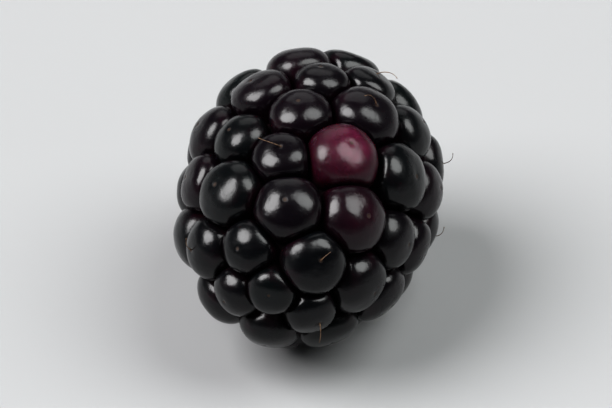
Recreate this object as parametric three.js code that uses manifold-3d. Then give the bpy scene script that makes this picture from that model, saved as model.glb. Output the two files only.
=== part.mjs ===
/**
 * A picked bramble berry, lying on its side.
 *
 * The fruit is a head of small juicy drupelets that grow in a spiral over an egg-shaped heart. They
 * are joined to the heart and to each other at their roots. The pale end of the receptacle, where the
 * stalk came off, sits in a shallow socket inside the first ring of drupelets.
 *
 * Millimetres, +Z up. +Y runs along the fruit to its stem end and -Y to its tip. The lowest drupelets
 * rest on Z = 0 with a small flat each, and the fruit is centred on X = 0 and Y = 0.
 */
import * as THREE from 'three';
import { mergeVertices } from 'three/addons/utils/BufferGeometryUtils.js';
import Module from 'manifold-3d';

const wasm = await Module();
wasm.setup();

// The head: the egg-shaped surface that the drupelets' centres lie on.
const WAIST_RADIUS = 7.9;
const TIP_REACH = 12.36; // from the waist to the tip
const STEM_REACH = 10.08; // from the waist to where the stem half would close
const STEM_FLARE = 0.07; // how much wider the stem half is than the tip half, as a share
const FIRST_RING = 0.86; // where the stem half stops, as a share of STEM_REACH
const BAND_COUNT = 400; // bands that its area is summed over

// The drupelets.
const DRUPELET_COUNT = 59;
const DRUPELET_HALF_WIDTH = 0.6; // as a share of its size, which is how far off its neighbours are
const DRUPELET_HEIGHT = 0.54; // from its centre to its top, in the same measure
const PLUMP_SPREAD = 0.2; // in their sizes, between the least and the most plump
const NEIGHBOURS = 5; // how many of the nearest it swells to meet
const SWELL_LIMIT = 1.25; // a neighbour further off than this many pitches counts as this far
const DRUPELET_FACETS = 12; // round a drupelet
const DRUPELET_RINGS = [112, 72, 47, 24]; // its rings of corners, in degrees from its top

// Their order: a spiral by the golden angle, a little uneven, then eased apart by the room each wants.
const GOLDEN_ANGLE = -137.508; // degrees from one to the next, winding to the left
const FIRST_TURN = 123;
const PLACE_SEED = 692;
const PLUMP_SEED = 2292;
const STEM_LEAD = 0.35; // share of one drupelet's area that is left before the first
const TIP_TRAIL = 0.5; // and after the last
const TIP_CLEARANCE = 0.02; // radians that none comes nearer to the tip than, when placed
const LATITUDE_JITTER = 0.09; // radians, end to end
const TURN_JITTER = 0.1;
const ROOM_SPREAD = 0.24; // between the least and the most room wanted, as a share
const TIP_SHRINK = 0.22; // how much less the last ones want, at the tip
const STEM_SHRINK = 0.08; // and the first ones, at the stem end
const SHRINK_TIP_FROM = 0.86; // where that starts, counted from the stem end as a share
const SHRINK_STEM_TO = 0.12;
const SPREAD_PASSES = 60;
const SPREAD_STEP = 0.25; // share of the crowding that one pass takes away
const SETTLE_STEPS = 2;
const CLOSE_PACKING = 0.866; // area of a hexagon, in squares of its pitch
const ELBOW_ROOM = 1.06; // mean distance wanted between neighbours, in pitches

// The heart fills the fruit under the drupelets.
const HEART_RISE = 0.25; // how far it comes up over the drupelets' centres
const HEART_FACE = 7.9; // Y of its flat end, inside the first ring
const HEART_FACETS = 30;
const HEART_TIERS = 18;

// The receptacle's end and the socket that it sits in.
const RECEPTACLE_RADIUS = 2.5;
const RECEPTACLE_FOOT = 6.8; // Y of its inner end
const RECEPTACLE_EDGE = 8.0; // Y of its rim
const RECEPTACLE_CROWN = 0.35; // how far it domes over its rim
const PIT_RADIUS = 0.75; // the dimple that the stalk's core leaves
const PIT_DEPTH = 0.4;
const RECEPTACLE_BEVEL = 0.25;
const RECEPTACLE_FACETS = 28;
const SOCKET_GAP = 0.3;

// The fruit lies on small flats, cut this deep into its lowest drupelet.
const REST_FLAT = 0.22;

const MERGE_DISTANCE = 1e-4;
const UP = new THREE.Vector3(0, 1, 0);

/** Random numbers from 0 to 1, the same each run. */
function randomNumbers(seed) {
  let state = seed | 0;
  return () => {
    state = (state + 0x6d2b79f5) | 0;
    let mixed = Math.imul(state ^ (state >>> 15), state | 1);
    mixed ^= mixed + Math.imul(mixed ^ (mixed >>> 7), mixed | 61);
    return ((mixed ^ (mixed >>> 14)) >>> 0) / 2 ** 32;
  };
}

/** Radius of the centre surface where its latitude has this sine: 1 is the stem end, -1 the tip. */
function ringRadius(height) {
  return WAIST_RADIUS * Math.sqrt(Math.max(0, 1 - height * height)) * (1 + STEM_FLARE * height);
}

/** Distance from the waist, along the fruit, for the same measure of latitude. */
function ringPlace(height) {
  return height * (height > 0 ? STEM_REACH : TIP_REACH);
}

/** How far a point is outside the centre surface, and the way that leads out of it. */
function surfaceAt(point) {
  const reach = point.y > 0 ? STEM_REACH : TIP_REACH;
  const height = point.y / reach;
  const radius = WAIST_RADIUS * (1 + STEM_FLARE * height);
  const square = point.x * point.x + point.z * point.z;
  const excess = square / (radius * radius) + height * height - 1;
  const flareSlope = (-2 * WAIST_RADIUS * STEM_FLARE * square) / radius ** 3;
  const slope = new THREE.Vector3(
    (2 * point.x) / (radius * radius),
    (flareSlope + 2 * height) / reach,
    (2 * point.z) / (radius * radius),
  );
  return { excess, slope };
}

/** Moves a point to the centre surface, and no nearer the stem than the first ring. */
function settle(point) {
  for (let step = 0; step < SETTLE_STEPS; step += 1) {
    const { excess, slope } = surfaceAt(point);
    point.addScaledVector(slope, -excess / slope.lengthSq());
  }
  if (point.y > ringPlace(FIRST_RING)) {
    const inward = ringRadius(FIRST_RING) / Math.hypot(point.x, point.z);
    point.set(point.x * inward, ringPlace(FIRST_RING), point.z * inward);
  }
}

/** Bands of the centre surface from the stem end to the tip, with the area up to each one's end. */
function measureBands() {
  const start = Math.acos(FIRST_RING);
  const bands = [{ latitude: start, radius: ringRadius(FIRST_RING), place: ringPlace(FIRST_RING), area: 0 }];
  for (let band = 1; band <= BAND_COUNT; band += 1) {
    const before = bands.at(-1);
    const latitude = start + ((Math.PI - start) * band) / BAND_COUNT;
    const radius = ringRadius(Math.cos(latitude));
    const place = ringPlace(Math.cos(latitude));
    const slant = Math.hypot(radius - before.radius, place - before.place);
    const area = before.area + Math.PI * (radius + before.radius) * slant;
    bands.push({ latitude, radius, place, area });
  }
  return bands;
}

/** Latitude that has this share of the centre surface on its stem side. */
function latitudeOfShare(bands, share) {
  const wanted = share * bands.at(-1).area;
  const next = bands.findIndex((band) => band.area >= wanted);
  const before = bands[next - 1];
  const after = bands[next];
  const part = (wanted - before.area) / (after.area - before.area);
  return before.latitude + part * (after.latitude - before.latitude);
}

/** Room that a drupelet wants, where this share of the others is on its stem side. */
function roomOfShare(share, draw) {
  const nearTip = THREE.MathUtils.clamp((share - SHRINK_TIP_FROM) / (1 - SHRINK_TIP_FROM), 0, 1);
  const nearStem = THREE.MathUtils.clamp((SHRINK_STEM_TO - share) / SHRINK_STEM_TO, 0, 1);
  return (1 + ROOM_SPREAD * (draw - 0.5)) * (1 - TIP_SHRINK * nearTip - STEM_SHRINK * nearStem);
}

/** Mean distance to the nearest neighbours, which is what a drupelet swells to. */
function measureGap(one, drupelets, pitch) {
  const distances = drupelets
    .filter((other) => other !== one)
    .map((other) => Math.min(one.centre.distanceTo(other.centre), SWELL_LIMIT * pitch))
    .sort((a, b) => a - b);
  return distances.slice(0, NEIGHBOURS).reduce((sum, distance) => sum + distance, 0) / NEIGHBOURS;
}

/** Centre, half width, height and outward direction of every drupelet. */
function placeDrupelets() {
  const draw = (random) => Array.from({ length: DRUPELET_COUNT }, random);
  const placeRandom = randomNumbers(PLACE_SEED);
  const roomDraws = draw(placeRandom);
  const latitudeDraws = draw(placeRandom);
  const turnDraws = draw(placeRandom);
  const plumpDraws = draw(randomNumbers(PLUMP_SEED));
  const bands = measureBands();
  const pitch = Math.sqrt(bands.at(-1).area / DRUPELET_COUNT / CLOSE_PACKING);

  const drupelets = roomDraws.map((roomDraw, index) => {
    const share = (index + STEM_LEAD) / (DRUPELET_COUNT - 1 + STEM_LEAD + TIP_TRAIL);
    const shifted = latitudeOfShare(bands, share) + (latitudeDraws[index] - 0.5) * LATITUDE_JITTER;
    const latitude = THREE.MathUtils.clamp(shifted, Math.acos(FIRST_RING), Math.PI - TIP_CLEARANCE);
    const height = Math.cos(latitude);
    const turn = THREE.MathUtils.degToRad(FIRST_TURN + GOLDEN_ANGLE * index)
      + (turnDraws[index] - 0.5) * TURN_JITTER;
    const radius = ringRadius(height);
    const centre = new THREE.Vector3(radius * Math.cos(turn), ringPlace(height), radius * Math.sin(turn));
    return { centre, room: roomOfShare(share, roomDraw) };
  });

  for (let pass = 0; pass < SPREAD_PASSES; pass += 1) {
    const pushes = drupelets.map((one) => {
      const push = new THREE.Vector3();
      for (const other of drupelets) {
        const apart = one.centre.clone().sub(other.centre);
        const wanted = (ELBOW_ROOM * pitch * (one.room + other.room)) / 2;
        if (other !== one && apart.length() < wanted) {
          push.addScaledVector(apart.clone().normalize(), wanted - apart.length());
        }
      }
      return push;
    });
    drupelets.forEach((one, index) => {
      one.centre.addScaledVector(pushes[index], SPREAD_STEP);
      settle(one.centre);
    });
  }

  drupelets.forEach((one, index) => {
    const size = measureGap(one, drupelets, pitch) * (1 + PLUMP_SPREAD * (plumpDraws[index] - 0.5));
    one.halfWidth = DRUPELET_HALF_WIDTH * size;
    one.height = DRUPELET_HEIGHT * size;
    one.outward = surfaceAt(one.centre).slope.normalize();
  });
  return drupelets;
}

/** How far a drupelet reaches from its centre along a unit direction. */
function reachAlong(drupelet, direction) {
  const facing = drupelet.outward.dot(direction);
  return Math.hypot(drupelet.height * facing, drupelet.halfWidth * Math.sqrt(1 - facing * facing));
}

/** A closed geometry as a solid that can be joined and cut. */
function toSolid(geometry) {
  const bare = geometry.clone();
  bare.deleteAttribute('normal');
  bare.deleteAttribute('uv');
  const merged = mergeVertices(bare, MERGE_DISTANCE);
  return new wasm.Manifold(new wasm.Mesh({
    numProp: 3,
    vertProperties: new Float32Array(merged.attributes.position.array),
    triVerts: new Uint32Array(merged.index.array),
  }));
}

/** A joined or cut solid as a geometry. */
function toGeometry(solid) {
  const mesh = solid.getMesh();
  const geometry = new THREE.BufferGeometry();
  geometry.setAttribute('position', new THREE.BufferAttribute(mesh.vertProperties, 3));
  geometry.setIndex(new THREE.BufferAttribute(mesh.triVerts, 1));
  geometry.computeVertexNormals();
  return geometry;
}

/** One drupelet: a rounded bead that stands on the centre surface, its root inside the heart. */
function makeDrupelet(drupelet) {
  const root = new THREE.Vector2(0, -1);
  const top = new THREE.Vector2(0, 1);
  const rings = DRUPELET_RINGS.map((degrees) => {
    const angle = THREE.MathUtils.degToRad(degrees);
    return new THREE.Vector2(Math.sin(angle), Math.cos(angle));
  });
  const geometry = new THREE.LatheGeometry([root, ...rings, top], DRUPELET_FACETS);
  const turn = new THREE.Quaternion().setFromUnitVectors(UP, drupelet.outward);
  const scale = new THREE.Vector3(drupelet.halfWidth, drupelet.height, drupelet.halfWidth);
  return toSolid(geometry.applyMatrix4(new THREE.Matrix4().compose(drupelet.centre, turn, scale)));
}

/** The heart, which closes the gaps between the drupelets' roots. */
function makeHeart() {
  const grow = 1 + HEART_RISE / WAIST_RADIUS;
  const profile = [];
  for (let tier = 0; tier <= HEART_TIERS; tier += 1) {
    const latitude = Math.PI - ((Math.PI - Math.acos(FIRST_RING)) * tier) / HEART_TIERS;
    const height = Math.cos(latitude);
    const radius = tier === 0 ? 0 : ringRadius(height) * grow;
    profile.push(new THREE.Vector2(radius, Math.min(ringPlace(height) * grow, HEART_FACE)));
  }
  profile.push(new THREE.Vector2(0, HEART_FACE));
  return toSolid(new THREE.LatheGeometry(profile, HEART_FACETS));
}

/** Half outline of the receptacle's end, from its foot to the rim of its dimple, grown by a clearance. */
function receptacleProfile(clearance) {
  const radius = RECEPTACLE_RADIUS + clearance;
  const foot = RECEPTACLE_FOOT - clearance;
  const edge = RECEPTACLE_EDGE + clearance;
  const dome = [radius - RECEPTACLE_BEVEL, (radius + PIT_RADIUS) / 2, PIT_RADIUS];
  return [
    new THREE.Vector2(0, foot),
    new THREE.Vector2(radius - RECEPTACLE_BEVEL, foot),
    new THREE.Vector2(radius, foot + RECEPTACLE_BEVEL),
    new THREE.Vector2(radius, edge - RECEPTACLE_BEVEL),
    ...dome.map((out) => new THREE.Vector2(out, edge + RECEPTACLE_CROWN * (1 - (out / radius) ** 2))),
  ];
}

/** The receptacle's end: a low dome with a dimple in the middle. */
function makeReceptacle() {
  const profile = receptacleProfile(0);
  const rim = profile.at(-1).y;
  profile.push(new THREE.Vector2(PIT_RADIUS / 2, rim - PIT_DEPTH));
  profile.push(new THREE.Vector2(0, rim - PIT_DEPTH));
  return toSolid(new THREE.LatheGeometry(profile, RECEPTACLE_FACETS));
}

/** The space that the receptacle's end takes, with room round it. */
function makeSocket() {
  const profile = receptacleProfile(SOCKET_GAP);
  profile.push(new THREE.Vector2(0, RECEPTACLE_EDGE + RECEPTACLE_CROWN + SOCKET_GAP));
  return toSolid(new THREE.LatheGeometry(profile, RECEPTACLE_FACETS));
}

/** Everything below the level that the fruit rests on. */
function makeGround(level) {
  const size = 4 * TIP_REACH;
  const slab = new THREE.BoxGeometry(size, size, size);
  return toSolid(slab.translate(0, 0, level - size / 2));
}

const placed = placeDrupelets();
const down = new THREE.Vector3(0, 0, -1);
const lowest = Math.min(...placed.map((one) => one.centre.z - reachAlong(one, down)));
const restLevel = lowest + REST_FLAT;

let head = makeHeart();
for (const drupelet of placed) {
  head = head.add(makeDrupelet(drupelet));
}
head = head.subtract(makeSocket());
head = head.subtract(makeGround(restLevel));

const skin = new THREE.MeshStandardMaterial({ color: 0x150c12, roughness: 0.28, metalness: 0 });
const pith = new THREE.MeshStandardMaterial({ color: 0xc9bd93, roughness: 0.8, metalness: 0 });

const drupelets = new THREE.Mesh(toGeometry(head), skin);
drupelets.name = 'drupelets';

const receptacle = new THREE.Mesh(toGeometry(makeReceptacle()), pith);
receptacle.name = 'receptacle';

const berry = new THREE.Group();
berry.add(drupelets, receptacle);

const middle = new THREE.Box3().setFromObject(drupelets).getCenter(new THREE.Vector3());
berry.position.set(-middle.x, -middle.y, -restLevel);

export default berry;
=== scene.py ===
"""A picked bramble berry, lying on its side: its looks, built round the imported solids. Metres, +Z up."""
import math

import bpy
import numpy as np
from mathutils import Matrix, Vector, noise


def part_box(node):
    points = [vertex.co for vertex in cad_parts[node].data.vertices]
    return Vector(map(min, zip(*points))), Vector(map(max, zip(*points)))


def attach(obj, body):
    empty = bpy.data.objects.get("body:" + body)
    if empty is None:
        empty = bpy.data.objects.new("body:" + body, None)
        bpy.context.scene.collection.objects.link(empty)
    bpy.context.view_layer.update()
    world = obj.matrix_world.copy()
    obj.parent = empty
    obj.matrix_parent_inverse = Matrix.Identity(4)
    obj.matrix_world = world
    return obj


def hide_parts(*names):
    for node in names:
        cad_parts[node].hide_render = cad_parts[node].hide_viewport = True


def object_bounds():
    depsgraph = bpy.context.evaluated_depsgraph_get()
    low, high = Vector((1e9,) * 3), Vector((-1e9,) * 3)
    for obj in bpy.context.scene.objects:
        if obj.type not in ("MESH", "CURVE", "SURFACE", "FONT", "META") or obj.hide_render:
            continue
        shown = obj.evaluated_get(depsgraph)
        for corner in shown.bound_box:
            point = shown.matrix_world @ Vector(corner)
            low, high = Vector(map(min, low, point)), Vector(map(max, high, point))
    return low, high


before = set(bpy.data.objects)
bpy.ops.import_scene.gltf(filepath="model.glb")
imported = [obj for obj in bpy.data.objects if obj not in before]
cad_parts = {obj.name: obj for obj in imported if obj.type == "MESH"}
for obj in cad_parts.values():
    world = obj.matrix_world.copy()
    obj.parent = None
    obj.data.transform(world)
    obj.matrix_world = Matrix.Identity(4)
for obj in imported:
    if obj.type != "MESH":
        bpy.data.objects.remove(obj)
cad_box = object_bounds()

# The drupelets: round sacs of juice in a thin, glossy skin, most of them ripe and black. They grow in
# a spiral over the fruit's heart, swell until they press on each other and on what the fruit lies on,
# and stay joined to the heart at their roots. One is still wine red, and the one next to it is turning.
MM = 0.001
WAIST_RADIUS = 7.9 * MM  # of the egg-shaped surface that their centres lie on
TIP_REACH = 12.36 * MM  # from its waist to its tip
STEM_REACH = 10.08 * MM  # from its waist to where its stem half would close
STEM_FLARE = 0.07  # how much wider the stem half is than the tip half, as a share
FIRST_RING = 0.86  # where the stem half stops, as a share of STEM_REACH
BAND_COUNT = 400  # bands that its area is summed over
RECEPTACLE_FOOT = 6.8 * MM  # from the waist to the inner end of the receptacle

DRUPELET_COUNT = 59
DRUPELET_HALF_WIDTH = 0.612  # as a share of its size, which is how far off its neighbours are
DRUPELET_HEIGHT = 0.54  # from its centre to its top, in the same measure
PLUMP_SPREAD = 0.2  # in their sizes, between the least and the most plump
NEIGHBOURS = 5  # how many of the nearest it swells to meet
SWELL_LIMIT = 1.25  # a neighbour further off than this many pitches counts as this far
WINE_RED_ONE = 37  # counted along the spiral from the stem end, from 0
TURNING_ONE = 45

GOLDEN_ANGLE = -137.508  # degrees from one to the next, winding to the left
FIRST_TURN = 123  # degrees round the fruit to the first one, from its +X side up
PLACE_SEED = 692
PLUMP_SEED = 2292
STEM_LEAD = 0.35  # share of one drupelet's area that is left before the first
TIP_TRAIL = 0.5  # and after the last
TIP_CLEARANCE = 0.02  # radians that none comes nearer to the tip than, when placed
LATITUDE_JITTER = 0.09  # radians, end to end
TURN_JITTER = 0.1  # the same, round the fruit
ROOM_SPREAD = 0.24  # between the least and the most room wanted, as a share
TIP_SHRINK = 0.22  # how much less the last ones want, at the tip
STEM_SHRINK = 0.08  # and the first ones, at the stem end
SHRINK_TIP_FROM = 0.86  # where that starts, counted from the stem end as a share
SHRINK_STEM_TO = 0.12  # and where the stem end's stops
SPREAD_PASSES = 60  # times that they are eased apart
SPREAD_STEP = 0.25  # share of the crowding that one pass takes away
SETTLE_STEPS = 2  # steps back to the centre surface after each
CLOSE_PACKING = 0.866  # area of a hexagon, in squares of its pitch
ELBOW_ROOM = 1.06  # mean distance wanted between neighbours, in pitches

receptacle_low, receptacle_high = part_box("receptacle")
waist_middle = np.array([
    (receptacle_low.x + receptacle_high.x) / 2,
    receptacle_low.y - RECEPTACLE_FOOT,
    (receptacle_low.z + receptacle_high.z) / 2,
])


def random_numbers(seed, count):
    """Random numbers from 0 to 1, the same each run, by the mulberry32 rule and its own constants."""
    word = 0xFFFFFFFF
    state = seed
    numbers = []
    for _ in range(count):
        state = (state + 0x6D2B79F5) & word
        mixed = ((state ^ (state >> 15)) * (state | 1)) & word
        mixed ^= (mixed + (((mixed ^ (mixed >> 7)) * (mixed | 61)) & word)) & word
        numbers.append((mixed ^ (mixed >> 14)) / 2**32)
    return np.array(numbers)


def ring_radius(height):
    """Radius of the centre surface where its latitude has this sine: 1 is the stem end, -1 the tip."""
    return WAIST_RADIUS * np.sqrt(np.clip(1 - height**2, 0, None)) * (1 + STEM_FLARE * height)


def ring_place(height):
    """Distance from the waist, along the fruit, for the same measure of latitude."""
    return height * np.where(height > 0, STEM_REACH, TIP_REACH)


def surface_at(points):
    """How far points are outside the centre surface, and the way that leads out of it."""
    reach = np.where(points[:, 1] > 0, STEM_REACH, TIP_REACH)
    height = points[:, 1] / reach
    radius = WAIST_RADIUS * (1 + STEM_FLARE * height)
    square = points[:, 0]**2 + points[:, 2]**2
    excess = square / radius**2 + height**2 - 1
    flare_slope = -2 * WAIST_RADIUS * STEM_FLARE * square / radius**3
    slope = np.stack([
        2 * points[:, 0] / radius**2,
        (flare_slope + 2 * height) / reach,
        2 * points[:, 2] / radius**2,
    ], axis=1)
    return excess, slope


def settle(points):
    """Moves points to the centre surface, and no nearer the stem than the first ring."""
    for _ in range(SETTLE_STEPS):
        excess, slope = surface_at(points)
        points = points - slope * (excess / (slope**2).sum(axis=1))[:, None]
    past = points[:, 1] > STEM_REACH * FIRST_RING
    inward = ring_radius(FIRST_RING) / np.hypot(points[:, 0], points[:, 2])
    points[past] *= np.stack([inward, np.ones_like(inward), inward], axis=1)[past]
    points[past, 1] = STEM_REACH * FIRST_RING
    return points


def place_drupelets():
    """Centre of every drupelet, and its size: how far off its neighbours are, times its plumpness."""
    order = np.arange(DRUPELET_COUNT)
    draws = random_numbers(PLACE_SEED, 3 * DRUPELET_COUNT)
    room_draw, latitude_draw, turn_draw = draws.reshape(3, -1)
    latitudes = np.linspace(math.acos(FIRST_RING), math.pi, BAND_COUNT + 1)
    radii = ring_radius(np.cos(latitudes))
    slants = np.hypot(np.diff(radii), np.diff(ring_place(np.cos(latitudes))))
    areas = np.append(0, np.cumsum(math.pi * (radii[1:] + radii[:-1]) * slants))
    pitch = math.sqrt(areas[-1] / DRUPELET_COUNT / CLOSE_PACKING)

    # Each has an even share of the centre surface's area, counted from the stem end.
    share = (order + STEM_LEAD) / (DRUPELET_COUNT - 1 + STEM_LEAD + TIP_TRAIL)
    near_tip = np.clip((share - SHRINK_TIP_FROM) / (1 - SHRINK_TIP_FROM), 0, 1)
    near_stem = np.clip((SHRINK_STEM_TO - share) / SHRINK_STEM_TO, 0, 1)
    room = 1 + ROOM_SPREAD * (room_draw - 0.5)
    room = room * (1 - TIP_SHRINK * near_tip - STEM_SHRINK * near_stem)

    latitude = np.interp(share * areas[-1], areas, latitudes)
    latitude = latitude + (latitude_draw - 0.5) * LATITUDE_JITTER
    height = np.cos(np.clip(latitude, latitudes[0], math.pi - TIP_CLEARANCE))
    turn = np.radians(FIRST_TURN + GOLDEN_ANGLE * order) + (turn_draw - 0.5) * TURN_JITTER
    radius = ring_radius(height)
    places = np.stack([radius * np.cos(turn), ring_place(height), radius * np.sin(turn)], axis=1)
    wanted = ELBOW_ROOM * pitch * (room[:, None] + room) / 2
    for _ in range(SPREAD_PASSES):
        apart = places[:, None] - places
        distance = np.linalg.norm(apart, axis=2) + np.eye(DRUPELET_COUNT)  # none crowds itself
        push = np.clip(wanted - distance, 0, None) / distance
        places = settle(places + SPREAD_STEP * (apart * push[:, :, None]).sum(axis=1))

    distance = np.linalg.norm(places[:, None] - places, axis=2) + np.eye(DRUPELET_COUNT)
    nearest = np.sort(np.minimum(distance, SWELL_LIMIT * pitch), axis=1)[:, :NEIGHBOURS]
    plumpness = 1 + PLUMP_SPREAD * (random_numbers(PLUMP_SEED, DRUPELET_COUNT) - 0.5)
    return places, nearest.mean(axis=1) * plumpness


centres, sizes = place_drupelets()
outward = surface_at(centres)[1]
outward /= np.linalg.norm(outward, axis=1)[:, None]
half_widths = DRUPELET_HALF_WIDTH * sizes
heights = DRUPELET_HEIGHT * sizes
centres = centres + waist_middle

# Each skin is a net of points that runs from the drupelet's top to its root. It bulges where it is
# free, is flat where it presses, and has faint dents and the scar that the flower's style left.
SEGMENTS = 48
SKIN_RINGS = 26  # from the top to where the skin meets the heart
SKIN_END = 115  # degrees from the top
ROOT_RINGS = [132, 155]  # degrees from the top, inside the heart
TOP_SPACING = 0.5  # how far apart the rings lie at the top, as a share of their mean spacing
NEARLY_ALONG = 0.9  # a top that points this much along Y has its sides measured from X
PRESS_REACH = 7.5 * MM  # how far off a neighbour can be and still be pressed on
PRESS_SHARPNESS = 12  # how tightly the skin turns into the flat where two press
GROUND_SHARPNESS = 40  # and where one presses on the ground
BLUNTNESS = [2.0, 2.8]  # power of the curve from the top to the side, where 2 is an ellipse
BLUNT_SEED = 12
DENT = 0.035  # how deep, as a share of the drupelet's size
DENT_WAVES = 1.3  # of dents over half a drupelet
DENT_STRIDE = 7  # from one drupelet's dents to the next one's, in the noise that makes them
LOOKS_SEED = 5
SCAR_LEAN = 0.16  # radians that the style's scar can lie off the top
SCAR_WIDTH = 0.11  # radians
SCAR_DEPTH = 0.05 * MM
SCAR_BROWN_WIDTH = 0.8  # as a share of the scar's
MAP_CELLS = 8  # squares along each side of the map, where each drupelet and the heart have one
MAP_FILL = 0.94  # share of a square's width that is used
MAP_ROOT = 1.06  # where the last ring lies on the map, if the skin ends at 1

shares = np.linspace(0, 1, SKIN_RINGS + 1)[1:]
skin_angles = SKIN_END * (TOP_SPACING * shares + (1 - TOP_SPACING) * shares**2)
ring_angles = np.append(skin_angles, ROOT_RINGS)
root_shares = np.linspace(1, MAP_ROOT, len(ROOT_RINGS) + 1)[1:]
ring_shares = np.append(shares, root_shares) / MAP_ROOT
turns = np.arange(SEGMENTS) * 2 * math.pi / SEGMENTS


def net_faces(ring_count, segments, ring_shares):
    """Faces of a closed net from its top point, through its rings, to its bottom point.

    Beside each face's corners are their places on a map: how far out, from 0 to 1, and which way.
    """
    faces, spots = [], []
    bottom = 1 + ring_count * segments
    for step in range(segments):
        after = (step + 1) % segments
        here, there = [2 * math.pi * turn / segments for turn in (step, step + 1)]
        faces.append((0, 1 + step, 1 + after))
        spots.append(((0, here), (ring_shares[0], here), (ring_shares[0], there)))
        for ring in range(ring_count - 1):
            upper = 1 + ring * segments
            lower = upper + segments
            inner, outer = ring_shares[ring], ring_shares[ring + 1]
            faces.append((upper + step, lower + step, lower + after, upper + after))
            spots.append(((inner, here), (outer, here), (outer, there), (inner, there)))
        last = 1 + (ring_count - 1) * segments
        faces.append((last + step, bottom, last + after))
        spots.append(((ring_shares[-1], here), (1, (here + there) / 2), (ring_shares[-1], there)))
    return faces, spots


def on_map(spots, cell):
    """Places on the whole map of a net that has this square of it."""
    row, column = divmod(cell, MAP_CELLS)
    return [
        ((column + 0.5 + MAP_FILL / 2 * out * math.cos(turn)) / MAP_CELLS,
         (row + 0.5 + MAP_FILL / 2 * out * math.sin(turn)) / MAP_CELLS)
        for face in spots for out, turn in face
    ]


def make_object(name, points, faces, map_places=None):
    """A smooth mesh object, with a map for its baked finish if one is given."""
    mesh = bpy.data.meshes.new(name)
    mesh.from_pydata([tuple(point) for point in points], [], faces)
    mesh.shade_smooth()
    if map_places:
        layer = mesh.uv_layers.new(name="OFBake")
        layer.uv.foreach_set("vector", np.array(map_places, np.float32).ravel())
    piece = bpy.data.objects.new(name, mesh)
    bpy.context.scene.collection.objects.link(piece)
    return piece


def set_attribute(piece, name, values):
    """Gives each point of a piece a value that its material can read."""
    attribute = piece.data.attributes.new(name, "FLOAT", "POINT")
    attribute.data.foreach_set("value", np.asarray(values, np.float32))


def net_directions(axis):
    """Unit vectors from a drupelet's centre to the points of its net, whose top is along the axis."""
    side = np.cross(axis, [0, 1, 0] if abs(axis[1]) < NEARLY_ALONG else [1, 0, 0])
    side /= np.linalg.norm(side)
    front = np.cross(axis, side)
    angles = np.radians(ring_angles)[:, None, None]
    round_axis = np.cos(turns)[:, None] * side + np.sin(turns)[:, None] * front
    rings = np.cos(angles) * axis + np.sin(angles) * round_axis
    return np.concatenate([[axis], rings.reshape(-1, 3), [-axis]])


def swell(index, directions):
    """How far a drupelet's skin is from its centre, along unit vectors.

    A neighbour stops it at the plane where balls of their two widths would cross, and the ground stops
    it at its own level. High powers of 1 over each distance are added, so the nearest stop counts most
    and the skin turns smoothly from one to the next.
    """
    facing = directions @ outward[index]
    across = np.sqrt(np.clip(1 - facing**2, 0, None))
    dents = np.array([
        noise.noise(Vector(direction) * DENT_WAVES + Vector((DENT_STRIDE * index, 0, 0)))
        for direction in directions
    ])
    power = curve_powers[index]
    rounded = np.abs(facing / heights[index])**power + (across / half_widths[index])**power
    tightness = (rounded ** (1 / power) / (1 + DENT * dents)) ** PRESS_SHARPNESS
    for other in range(DRUPELET_COUNT):
        towards = centres[other] - centres[index]
        distance = np.linalg.norm(towards)
        if 0 < distance < PRESS_REACH:
            wall = (distance**2 + half_widths[index]**2 - half_widths[other]**2) / (2 * distance)
            tightness += np.clip(directions @ towards / distance / wall, 0, None) ** PRESS_SHARPNESS
    reach = tightness ** (-1 / PRESS_SHARPNESS)
    sinking = np.clip(-directions[:, 2] / centres[index][2], 0, None)
    return (reach ** -GROUND_SHARPNESS + sinking**GROUND_SHARPNESS) ** (-1 / GROUND_SHARPNESS)


curve_powers = np.interp(random_numbers(BLUNT_SEED, DRUPELET_COUNT), [0, 1], BLUNTNESS)
scar_draws = random_numbers(LOOKS_SEED, 2 * DRUPELET_COUNT).reshape(2, -1)
scar_turns = 2 * math.pi * scar_draws[0]
scar_leans = SCAR_LEAN * np.sqrt(scar_draws[1])
bead_faces, bead_spots = net_faces(len(ring_angles), SEGMENTS, ring_shares)
points_each = 2 + len(ring_angles) * SEGMENTS

head_points, head_faces, head_map = [], [], []
scar_places = []
depths, scars, drupelet_of = [], [], []
for index in range(DRUPELET_COUNT):
    directions = net_directions(outward[index])
    side = directions[1] - outward[index]
    front = directions[1 + SEGMENTS // 4] - outward[index]
    lean = math.cos(scar_turns[index]) * side + math.sin(scar_turns[index]) * front
    scar_way = outward[index] + lean / np.linalg.norm(lean) * math.tan(scar_leans[index])
    scar_way /= np.linalg.norm(scar_way)
    off_scar = np.arccos(np.clip(directions @ scar_way, -1, 1)) / SCAR_WIDTH
    reach = swell(index, directions) - SCAR_DEPTH * np.exp(-off_scar**2)
    first = len(head_points)
    head_points.extend(centres[index] + directions * reach[:, None])
    head_faces.extend(tuple(first + corner for corner in face) for face in bead_faces)
    head_map.extend(on_map(bead_spots, index))
    scar_places.append(centres[index] + scar_way * reach[off_scar.argmin()])
    depths.extend([0, *np.repeat(ring_shares, SEGMENTS), 1])
    scars.extend(np.exp(-(off_scar / SCAR_BROWN_WIDTH)**2))
    drupelet_of.extend([index] * points_each)

# The heart that they stand on grew as one with them, so it is in the same piece. It shows only as the
# bottoms of the gaps, and round the receptacle, which sits in a socket in its flat end. Its near-black
# colour is painted shade for the gaps.
HEART_RISE = -0.35 * MM  # how far it comes up over the drupelets' centres: it stays under them
HEART_FACE = 7.8 * MM  # from the waist to its flat end
SOCKET_RADIUS = 2.62 * MM  # a little more than the receptacle's
SOCKET_DEPTH = 1.2 * MM
LIP_WIDTH = 0.3 * MM  # of the slope at the socket's mouth
LIP_DROP = 0.2 * MM
HEART_SEGMENTS = 72
HEART_TIERS = 34

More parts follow.
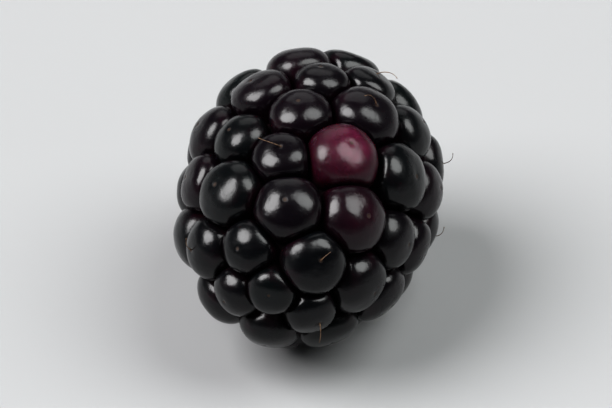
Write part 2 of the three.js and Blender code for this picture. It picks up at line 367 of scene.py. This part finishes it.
heart_turns = np.arange(HEART_SEGMENTS) * 2 * math.pi / HEART_SEGMENTS
tiers = np.cos(np.linspace(math.pi, math.acos(FIRST_RING), HEART_TIERS + 1)[1:])
heart_radii = ring_radius(tiers) + HEART_RISE
heart_profile = list(zip(heart_radii, np.minimum(ring_place(tiers), HEART_FACE)))
heart_profile += [
    (SOCKET_RADIUS + LIP_WIDTH, HEART_FACE),
    (SOCKET_RADIUS, HEART_FACE - LIP_DROP),
    (SOCKET_RADIUS, HEART_FACE - SOCKET_DEPTH),
]
first = len(head_points)
head_points.append(waist_middle - [0, TIP_REACH + HEART_RISE, 0])
for radius, place in heart_profile:
    ring = np.stack([
        radius * np.cos(heart_turns),
        np.full(HEART_SEGMENTS, place),
        radius * np.sin(heart_turns),
    ], axis=1)
    head_points.extend(ring + waist_middle)
head_points.append(waist_middle + [0, HEART_FACE - SOCKET_DEPTH, 0])
heart_shares = np.linspace(0, 1, len(heart_profile) + 2)[1:-1]
heart_faces, heart_spots = net_faces(len(heart_profile), HEART_SEGMENTS, heart_shares)
head_faces.extend(tuple(first + corner for corner in face) for face in heart_faces)
head_map.extend(on_map(heart_spots, DRUPELET_COUNT))
heart_points = len(head_points) - first
face_materials = [0] * (len(head_faces) - len(heart_faces)) + [1] * len(heart_faces)

# The skins differ in ripeness, from 0, wine red, to 1, black, and the black ones in tone. The finish
# also reads how far down a drupelet a point is, from 0 at its top to 1 at its root, and its scar.
TURNING_RIPENESS = 0.87

ripeness = np.ones(DRUPELET_COUNT)
ripeness[WINE_RED_ONE] = 0
ripeness[TURNING_ONE] = TURNING_RIPENESS
tones = random_numbers(LOOKS_SEED + 1, DRUPELET_COUNT)

head = make_object("drupelet_head", head_points, head_faces, head_map)
head.data.polygons.foreach_set("material_index", face_materials)
unread = np.zeros(heart_points)  # the heart's own finish reads none of these
set_attribute(head, "ripeness", np.append(ripeness[drupelet_of], unread))
set_attribute(head, "tone", np.append(tones[drupelet_of], unread))
set_attribute(head, "depth", np.append(depths, unread))
set_attribute(head, "scar", np.append(scars, unread))

BLUE_BLACK = (0.001, 0.002, 0.0021, 1)
PURPLE_BLACK = (0.0028, 0.001, 0.0024, 1)
RIPE_BLUSH = (0.009, 0.0014, 0.004, 1)
WINE_RED = (0.075, 0.0058, 0.0235, 1)
# the wine red's darker patches, and also the painted shade that it darkens to towards its sides and root
DEEP_WINE = (0.02, 0.0026, 0.007, 1)
# painted shade that every skin goes to at its root, in the creases between drupelets
ROOT_SHADE_WINE = (0.006, 0.001, 0.002, 1)
SCAR_BROWN = (0.03, 0.015, 0.008, 1)
SCAR_BROWN_SHARE = 0.75
MOTTLE_SIZE = 1.4 * MM
MOTTLE_RELIEF = 0.05 * MM
HAZE_SIZE = 2.2 * MM
HAZE_RELIEF = 0.1 * MM
PORE_SIZE = 0.16 * MM
PORE_RELIEF = 0.006 * MM
SKIN_ROUGHNESS = (0.19, 0.28)  # over the haze
SCAR_ROUGHNESS = 0.3  # added at the scar
UNRIPE_ROUGHNESS = 0.05  # added where the skin isn't ripe
ROOT_ROUGHNESS = 0.4  # added at the root
WAX_SHARE = 0.12  # of a wax coat over the skin
WAX_ROUGHNESS = 0.12
SKIN_IOR = 1.34  # of watery juice under a thin skin
SKIN_SHINE = 0.49  # a hair under plain, which is 0.5: an exported skin keeps its IOR only beside this
GLOW_SHARES = (0.3, 0.05)  # of the light that passes through the juice, if wine red and if black
GLOW_REACH = (1.2 * MM, 0.25 * MM, 0.3 * MM)  # of red, green and blue light in it

# Ranges over which one finish goes over to another: PATCHES of the mottle, DEPTHS from a drupelet's
# top, 0, to its root, 1, and SCAR ranges of how strongly its scar shows.
NOISE_MOST = (0.3, 0.7)  # nearly all of a noise's values lie between these
NOISE_MIDDLE = (0.35, 0.65)
BLUSH_PATCHES = (0.45, 0.75)
BLUSH_DEPTHS = (0.35, 0.8)
WINE_PATCHES = (0.35, 0.85)
# these two are painted shade: the wine-red skin darkens towards its sides and root, and every skin towards
# its root
WINE_SHADE_DEPTHS = (0.15, 0.6)
ROOT_SHADE_DEPTHS = (0.62, 0.95)
ROOT_ROUGH_DEPTHS = (0.7, 1)
WAX_DEPTHS = (0.6, 0.95)
BROWN_SCAR = (0.35, 0.95)
ROUGH_SCAR = (0.2, 0.9)
RIPE_ENOUGH = 0.8  # a skin riper than this is as smooth as a black one


def make_material(name):
    """A new material, its node tree and its main shader."""
    material = bpy.data.materials.new(name)
    material.use_nodes = True
    tree = material.node_tree
    shader = next(node for node in tree.nodes if node.type == "BSDF_PRINCIPLED")
    return material, tree, shader


def connect(tree, value, socket):
    """Links another node's output to a socket, or sets a plain value on it."""
    if isinstance(value, bpy.types.NodeSocket):
        tree.links.new(value, socket)
    else:
        socket.default_value = value


def attribute(tree, name):
    """A value that set_attribute gave to the piece's points."""
    node = tree.nodes.new("ShaderNodeAttribute")
    node.attribute_name = name
    return node.outputs["Fac"]


def patches(tree, size, detail=2, roughness=0.5):
    """Cloudy noise from 0 to 1, whose patches are about this size."""
    place = tree.nodes.new("ShaderNodeTexCoord")
    node = tree.nodes.new("ShaderNodeTexNoise")
    connect(tree, place.outputs["Object"], node.inputs["Vector"])
    connect(tree, 1 / size, node.inputs["Scale"])
    connect(tree, detail, node.inputs["Detail"])
    connect(tree, roughness, node.inputs["Roughness"])
    return node.outputs["Fac"]


def between(tree, value, low, high, to_low=0.0, to_high=1.0):
    """A value's range from low to high, spread smoothly over another range."""
    node = tree.nodes.new("ShaderNodeMapRange")
    node.interpolation_type = "SMOOTHSTEP"
    for setting, name in ((value, "Value"), (low, "From Min"), (high, "From Max"),
                          (to_low, "To Min"), (to_high, "To Max")):
        connect(tree, setting, node.inputs[name])
    return node.outputs["Result"]


def combine(tree, operation, first, second):
    """The sum or product of two values."""
    node = tree.nodes.new("ShaderNodeMath")
    node.operation = operation
    connect(tree, first, node.inputs[0])
    connect(tree, second, node.inputs[1])
    return node.outputs["Value"]


def blend(tree, share, first, second):
    """A colour that goes from the first to the second as the share goes from 0 to 1."""
    node = tree.nodes.new("ShaderNodeMix")
    node.data_type = "RGBA"
    connect(tree, share, node.inputs["Factor"])
    colour_a, colour_b = [socket for socket in node.inputs if socket.type == "RGBA"]
    connect(tree, first, colour_a)
    connect(tree, second, colour_b)
    return next(socket for socket in node.outputs if socket.type == "RGBA")


def raise_bumps(tree, shader, bumps):
    """Gives a shader its fine relief from (height, depth in metres) pairs, one over the other."""
    below = None
    for height, depth in bumps:
        node = tree.nodes.new("ShaderNodeBump")
        connect(tree, height, node.inputs["Height"])
        node.inputs["Distance"].default_value = depth
        if below:
            connect(tree, below, node.inputs["Normal"])
        below = node.outputs["Normal"]
    connect(tree, below, shader.inputs["Normal"])


skin, tree, shader = make_material("drupelet_skin")
ripe = attribute(tree, "ripeness")
depth = attribute(tree, "depth")
scar = attribute(tree, "scar")
mottle = patches(tree, MOTTLE_SIZE, detail=4)
haze = patches(tree, HAZE_SIZE, detail=3)
pores = patches(tree, PORE_SIZE, detail=3)

black = blend(tree, attribute(tree, "tone"), BLUE_BLACK, PURPLE_BLACK)
blush = between(tree, mottle, *BLUSH_PATCHES)
blush = combine(tree, "MULTIPLY", blush, between(tree, depth, *BLUSH_DEPTHS))
black = blend(tree, blush, black, RIPE_BLUSH)
red = blend(tree, between(tree, mottle, *WINE_PATCHES), WINE_RED, DEEP_WINE)
# painted shade: the wine-red skin darkens from its top towards its sides and root
red = blend(tree, between(tree, depth, *WINE_SHADE_DEPTHS), red, DEEP_WINE)
colour = blend(tree, ripe, red, black)
# painted shade in the creases: every skin goes to a dark wine at its root
colour = blend(tree, between(tree, depth, *ROOT_SHADE_DEPTHS), colour, ROOT_SHADE_WINE)
brown = between(tree, scar, *BROWN_SCAR, 0, SCAR_BROWN_SHARE)
colour = blend(tree, brown, colour, SCAR_BROWN)
connect(tree, colour, shader.inputs["Base Color"])

rough = between(tree, haze, *NOISE_MOST, *SKIN_ROUGHNESS)
rough = combine(tree, "ADD", rough, between(tree, scar, *ROUGH_SCAR, 0, SCAR_ROUGHNESS))
rough = combine(tree, "ADD", rough, between(tree, ripe, 0, RIPE_ENOUGH, UNRIPE_ROUGHNESS, 0))
rough = combine(tree, "ADD", rough, between(tree, depth, *ROOT_ROUGH_DEPTHS, 0, ROOT_ROUGHNESS))
connect(tree, rough, shader.inputs["Roughness"])
connect(tree, between(tree, depth, *WAX_DEPTHS, WAX_SHARE, 0), shader.inputs["Coat Weight"])
shader.inputs["Coat Roughness"].default_value = WAX_ROUGHNESS
shader.inputs["Coat IOR"].default_value = SKIN_IOR
shader.inputs["IOR"].default_value = SKIN_IOR
shader.inputs["Specular IOR Level"].default_value = SKIN_SHINE
connect(tree, between(tree, ripe, 0, 1, *GLOW_SHARES), shader.inputs["Subsurface Weight"])
shader.inputs["Subsurface Radius"].default_value = GLOW_REACH
shader.inputs["Subsurface Scale"].default_value = 1
raise_bumps(tree, shader, [(haze, HAZE_RELIEF), (mottle, MOTTLE_RELIEF), (pores, PORE_RELIEF)])
head.data.materials.append(skin)

# The heart's near-black colours are painted shade for the bottoms of the gaps between drupelets.
HEART_SHADE_BLACK = (0.0015, 0.0006, 0.001, 1)
HEART_SHADE_WINE = (0.005, 0.0008, 0.0018, 1)
FLESH_ROUGHNESS = (0.7, 0.9)
FLESH_SHINE = 0.1
STRAND_SIZE = 0.5 * MM
STRAND_RELIEF = 0.15 * MM

heart_shade, tree, shader = make_material("heart_painted_shade")
strands = patches(tree, STRAND_SIZE, detail=3)
colour = blend(tree, between(tree, strands, *NOISE_MIDDLE), HEART_SHADE_BLACK, HEART_SHADE_WINE)
connect(tree, colour, shader.inputs["Base Color"])
rough = between(tree, strands, *NOISE_MOST, *FLESH_ROUGHNESS)
connect(tree, rough, shader.inputs["Roughness"])
shader.inputs["Specular IOR Level"].default_value = FLESH_SHINE
raise_bumps(tree, shader, [(strands, STRAND_RELIEF)])
head.data.materials.append(heart_shade)
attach(head, "root")
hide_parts("drupelets")

# The receptacle's end: the pale pith that the drupelets grew on, left in the fruit when it is picked.
# It broke off the stalk, so its face is fibrous and torn, with a browned dimple where the stalk's core
# came away. Its rim is worn, and juice has stained it where it meets the flesh.
RECEPTACLE_RADIUS = 2.5 * MM
RECEPTACLE_EDGE = 8.0 * MM  # from the waist to its rim
RECEPTACLE_CROWN = 0.35 * MM  # how far it domes over its rim
PIT_RADIUS = 0.75 * MM
PIT_DEPTH = 0.4 * MM
PIT_SLOPE = 0.45  # width of the pit's side, as a share of its radius
FIBRE_COUNT = 26
FIBRE_RELIEF = 0.05 * MM
FIBRE_WANDER = 2.5  # radians of its own wave that a fibre strays by, at the most
WANDER_CIRCLE = 2  # radius, in the noise that gives it, of the circle that it is read round
TEAR_SIZE = 0.35 * MM  # of the face's torn patches
TEAR_RELIEF = 0.05 * MM
TEAR_DROP = 0.7  # share of that relief that they are sunk by
RIM_FROM = 0.9  # where the rim starts, as a share of the radius
RIM_WEAR = 0.02  # share of the radius that the rim is worn back by, on average
WEAR_CIRCLE = 3  # radius, in the noise that gives it, of the circle that it is read round
WEAR_LEVEL = 3  # and how many of its radii that circle stands up the noise
FACE_RINGS = 26
FACE_CROWDING = 0.85  # power that sets the rings closer towards the rim
WALL_RINGS = 5
PITH_SEGMENTS = 104


def pith_height(out, turn):
    """Height of the face over its rim, at a distance out from the middle and a turn round it."""
    share = out / RECEPTACLE_RADIUS
    dome = RECEPTACLE_CROWN * (1 - share**2)
    pit = PIT_DEPTH * np.clip((PIT_RADIUS - out) / (PIT_SLOPE * PIT_RADIUS) + 0.5, 0, 1)
    way = (math.cos(turn), math.sin(turn))
    wander = noise.noise(Vector((way[0] * WANDER_CIRCLE, way[1] * WANDER_CIRCLE, out / MM)))
    fibres = math.sin(FIBRE_COUNT * turn + FIBRE_WANDER * wander) * math.sin(math.pi * min(1, share))
    tears = noise.noise(Vector((way[0] * out, way[1] * out, 0)) / TEAR_SIZE)
    return dome - pit + FIBRE_RELIEF * (fibres - 1) + TEAR_RELIEF * (tears - TEAR_DROP)


face_outs = RECEPTACLE_RADIUS * np.linspace(0, 1, FACE_RINGS + 1)[1:] ** FACE_CROWDING
pith_turns = np.arange(PITH_SEGMENTS) * 2 * math.pi / PITH_SEGMENTS
pith_points = [(0, RECEPTACLE_EDGE + pith_height(0, 0), 0)]
for out in face_outs:
    for turn in pith_turns:
        wear = noise.noise(Vector((math.cos(turn), math.sin(turn), WEAR_LEVEL)) * WEAR_CIRCLE)
        shrink = 1 - RIM_WEAR * (1 + wear)
        far = out * (shrink if out > RIM_FROM * RECEPTACLE_RADIUS else 1)
        height = RECEPTACLE_EDGE + pith_height(out, turn)
        pith_points.append((far * math.cos(turn), height, far * math.sin(turn)))
for share in np.linspace(0, 1, WALL_RINGS + 1)[1:]:
    for above in pith_points[-PITH_SEGMENTS:]:
        place = above[1] + (RECEPTACLE_FOOT - above[1]) * share
        pith_points.append((above[0], place, above[2]))
pith_points.append((0, RECEPTACLE_FOOT, 0))
pith_ring_count = FACE_RINGS + WALL_RINGS
pith_faces, _ = net_faces(pith_ring_count, PITH_SEGMENTS, np.linspace(0, 1, pith_ring_count))
pith_faces = [face[::-1] for face in pith_faces]  # its points go round the other way
receptacle = make_object("receptacle_end", np.array(pith_points) + waist_middle, pith_faces)
outs = np.hypot(*np.array(pith_points)[:, [0, 2]].T) / RECEPTACLE_RADIUS
set_attribute(receptacle, "out", outs)

PITH_CREAM = (0.62, 0.55, 0.36, 1)
PITH_GREEN = (0.42, 0.43, 0.22, 1)
PITH_BROWN = (0.16, 0.085, 0.035, 1)
JUICE_STAIN = (0.13, 0.008, 0.035, 1)
PITH_ROUGHNESS = (0.8, 0.4)  # of its dry face and of its wet edge
CLOUD_SIZE = 0.9 * MM
CLOUD_RELIEF = 0.08 * MM
GRAIN_SIZE = 0.12 * MM
GRAIN_RELIEF = 0.03 * MM
GRAIN_BROWNS = (0.5, 0.8)  # where in the grain the brown comes in
GRAIN_BROWN_SHARE = 0.5
PIT_BROWN_OUTS = (0.34, 0.12)  # where it comes in towards the pit, as shares of the radius
JUICE_CREEP = 0.3  # how far the juice creeps in at the most, in the same measure
STAINED_OUTS = (0.95, 1.15)  # where its stain comes in, with its creep added on
WET_OUTS = (0.9, 1.15)

pith, tree, shader = make_material("receptacle_pith")
out = attribute(tree, "out")
cloud = patches(tree, CLOUD_SIZE, detail=4)
grain = patches(tree, GRAIN_SIZE, detail=3, roughness=0.7)
colour = blend(tree, between(tree, cloud, *NOISE_MIDDLE), PITH_CREAM, PITH_GREEN)
brown = between(tree, grain, *GRAIN_BROWNS, 0, GRAIN_BROWN_SHARE)
colour = blend(tree, brown, colour, PITH_BROWN)
colour = blend(tree, between(tree, out, *PIT_BROWN_OUTS), colour, PITH_BROWN)
juice = combine(tree, "ADD", out, combine(tree, "MULTIPLY", cloud, JUICE_CREEP))
colour = blend(tree, between(tree, juice, *STAINED_OUTS), colour, JUICE_STAIN)
connect(tree, colour, shader.inputs["Base Color"])
rough = between(tree, juice, *WET_OUTS, *PITH_ROUGHNESS)
connect(tree, rough, shader.inputs["Roughness"])
raise_bumps(tree, shader, [(cloud, CLOUD_RELIEF), (grain, GRAIN_RELIEF)])
receptacle.data.materials.append(pith)
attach(receptacle, "root")
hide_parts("receptacle")

# The styles: what is left of the flower's threads, one to a drupelet until they break off. They have
# dried to thin brown hairs, each standing in its scar at the top of a drupelet, bent over and curled.
STYLE_SHARE = 0.25  # of the drupelets that may still have one
STYLE_ROOM = 0.35 * MM  # it is gone where its scar is nearer than this to a side of the fruit's box
STYLE_LENGTH = 1.7 * MM
STYLE_SHORTEST = 0.55  # as a share of that
STYLE_SPREAD = 0.6  # from the shortest to the longest, in the same measure
STYLE_SUNK = 0.04 * MM  # how deep its foot is in the scar
STYLE_THICKNESS = 0.07 * MM
STYLE_FOOT = 1.25  # its thickness at the foot, as a share of that
STYLE_TAPER = 0.75  # how much thinner it gets on the way up
STIGMA_SWELL = 0.55  # and how much thicker again at its very end
STIGMA_DOME = 0.6  # height of the round end, as a share of its radius
STYLE_TILT = 0.5  # radians off upright at the foot
STYLE_BEND = 0.9  # radians more at the end, at the least
BEND_SPREAD = 0.5
CURL_SPREAD = 2.4  # radians to the side, from one way to the other
STYLE_SIDES = 6
STYLE_STEPS = 9
SIDE_LEAN = 0.3  # keeps the way that its sides are measured from clear of its own way

style_draws = random_numbers(LOOKS_SEED + 2, 5 * DRUPELET_COUNT).reshape(5, -1)
box_low, box_high = np.array(cad_box)
style_points, style_faces = [], []
for index in range(DRUPELET_COUNT):
    kept, long_draw, turn_draw, bend_draw, curl_draw = style_draws[:, index]
    start = np.array(scar_places[index])
    room = min(*(start - box_low), *(box_high - start))
    if kept > STYLE_SHARE or room < STYLE_ROOM or index in (WINE_RED_ONE, TURNING_ONE):
        continue
    length = STYLE_LENGTH * (STYLE_SHORTEST + STYLE_SPREAD * long_draw)
    directions = net_directions(outward[index])
    side = directions[1 + int(turn_draw * SEGMENTS)] - outward[index]
    side /= np.linalg.norm(side)
    across = np.cross(outward[index], side)
    place = start - outward[index] * STYLE_SUNK
    first = len(style_points)
    ring_count = STYLE_STEPS + 1
    style_points.append(place)
    for step in range(ring_count):
        along = step / STYLE_STEPS
        tilt = STYLE_TILT + (STYLE_BEND + BEND_SPREAD * bend_draw) * along
        curl = (curl_draw - 0.5) * CURL_SPREAD * along
        sideways = math.cos(curl) * side + math.sin(curl) * across
        heading = math.cos(tilt) * outward[index] + math.sin(tilt) * sideways
        if step:
            place = place + heading * length / STYLE_STEPS
        upright = np.cross(heading, across + SIDE_LEAN * side)
        upright /= np.linalg.norm(upright)
        level = np.cross(heading, upright)
        swelling = STYLE_FOOT - STYLE_TAPER * along + STIGMA_SWELL * (step == STYLE_STEPS)
        radius = STYLE_THICKNESS / 2 * swelling
        for side_step in range(STYLE_SIDES):
            round_turn = 2 * math.pi * side_step / STYLE_SIDES
            spoke = math.cos(round_turn) * upright + math.sin(round_turn) * level
            style_points.append(place + radius * spoke)
    style_points.append(place + heading * radius * STIGMA_DOME)
    faces, _ = net_faces(ring_count, STYLE_SIDES, np.linspace(0, 1, ring_count))
    style_faces.extend(tuple(first + corner for corner in face) for face in faces)
styles = make_object("dried_styles", style_points, style_faces)

STYLE_STRAW = (0.13, 0.07, 0.03, 1)
STYLE_BROWN = (0.04, 0.018, 0.008, 1)
STYLE_ROUGHNESS = (0.5, 0.75)
STREAK_SIZE = 0.3 * MM
WRINKLE_SIZE = 0.05 * MM
WRINKLE_RELIEF = 0.01 * MM

dry, tree, shader = make_material("dried_style")
streaks = patches(tree, STREAK_SIZE, detail=3)
colour = blend(tree, between(tree, streaks, *NOISE_MIDDLE), STYLE_STRAW, STYLE_BROWN)
connect(tree, colour, shader.inputs["Base Color"])
rough = between(tree, streaks, *NOISE_MOST, *STYLE_ROUGHNESS)
connect(tree, rough, shader.inputs["Roughness"])
raise_bumps(tree, shader, [(patches(tree, WRINKLE_SIZE), WRINKLE_RELIEF)])
styles.data.materials.append(dry)
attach(styles, "root")

# The set: a pale matt table and two soft lights from above, left and right, with a faint one behind.
# The camera looks down on the fruit from near its tip, and what it sees is shown with a little more
# contrast than plain.
FLOOR_SIZE = 8.0  # metres
FLOOR_WHITE = (0.262, 0.264, 0.266, 1)
FLOOR_SHADE = 0.97  # its darker clouds, as a share of that
FLOOR_CLOUDS = 40 * MM  # their size
FLOOR_ROUGHNESS = 0.9
FLOOR_SHINE = 0.1
CAMERA_AZIMUTH = 12.5
CAMERA_ELEVATION = 38
CAMERA_DISTANCE = 0.45
VIEW_HEIGHT = 31 * MM  # of the frame, at the fruit
IMAGE_SHAPE = 612 / 408  # its width over its height
SENSOR_WIDTH = 36  # millimetres
CLIP_START = 0.01  # metres
CLIP_END = 10
LOOK_AT = Vector((0, 0, 10.1 * MM))  # the middle of the fruit
SKY_LOW = (0.5, 0.505, 0.51, 1)
SKY_HIGH = (0.05, 0.053, 0.056, 1)
SKY_FADE = (-0.05, 0.3)  # upward part of the direction, from the low colour to the high one

bpy.ops.mesh.primitive_plane_add(size=FLOOR_SIZE)
floor = bpy.context.object
floor.name = "table"
table, tree, shader = make_material("table_white")
floor_shade = tuple(FLOOR_SHADE * part for part in FLOOR_WHITE[:3]) + (1,)
tint = blend(tree, patches(tree, FLOOR_CLOUDS, detail=3), FLOOR_WHITE, floor_shade)
connect(tree, tint, shader.inputs["Base Color"])
shader.inputs["Roughness"].default_value = FLOOR_ROUGHNESS
shader.inputs["Specular IOR Level"].default_value = FLOOR_SHINE
floor.data.materials.append(table)


def direction_at(azimuth, elevation):
    """Unit vector from the fruit to something at this azimuth and elevation, in degrees."""
    turn, rise = math.radians(azimuth), math.radians(elevation)
    level = math.cos(rise)
    return Vector((math.sin(turn) * level, -math.cos(turn) * level, math.sin(rise)))


def aim(thing, way, distance):
    """Stands a thing off from the fruit, facing it."""
    thing.location = LOOK_AT + way * distance
    thing.rotation_euler = way.to_track_quat("Z", "Y").to_euler()


def add_softbox(name, azimuth, elevation, distance, width, depth, power, colour):
    """A round or oval light in metres and watts, facing the fruit."""
    lamp = bpy.data.lights.new(name, "AREA")
    lamp.shape = "ELLIPSE"
    lamp.size = width
    lamp.size_y = depth
    lamp.energy = power
    lamp.color = colour
    softbox = bpy.data.objects.new(name, lamp)
    bpy.context.scene.collection.objects.link(softbox)
    aim(softbox, direction_at(azimuth, elevation), distance)


add_softbox("softbox_left", azimuth=-66, elevation=50, distance=3.0, width=2.3, depth=2.3,
            power=186, colour=(1, 0.992, 1))
add_softbox("softbox_right", azimuth=95, elevation=57, distance=3.0, width=2.1, depth=2.7,
            power=108, colour=(0.978, 1, 0.992))
add_softbox("softbox_back", azimuth=195, elevation=40, distance=3.5, width=3.0, depth=2.5,
            power=15, colour=(1, 1, 1))

world = bpy.data.worlds.new("studio")
bpy.context.scene.world = world
world.use_nodes = True
tree = world.node_tree
sky = next(node for node in tree.nodes if node.type == "BACKGROUND")
direction = tree.nodes.new("ShaderNodeTexCoord")
parts = tree.nodes.new("ShaderNodeSeparateXYZ")
connect(tree, direction.outputs["Generated"], parts.inputs["Vector"])
rise = between(tree, parts.outputs["Z"], *SKY_FADE)
connect(tree, blend(tree, rise, SKY_LOW, SKY_HIGH), sky.inputs["Color"])

bpy.context.scene.view_settings.view_transform = "Standard"
bpy.context.scene.view_settings.look = "Medium High Contrast"

lens = bpy.data.cameras.new("camera")
lens.sensor_width = SENSOR_WIDTH
lens.lens = SENSOR_WIDTH * CAMERA_DISTANCE / (VIEW_HEIGHT * IMAGE_SHAPE)
lens.clip_start = CLIP_START
lens.clip_end = CLIP_END
camera = bpy.data.objects.new("camera", lens)
bpy.context.scene.collection.objects.link(camera)
aim(camera, direction_at(CAMERA_AZIMUTH, CAMERA_ELEVATION), CAMERA_DISTANCE)
bpy.context.scene.camera = camera
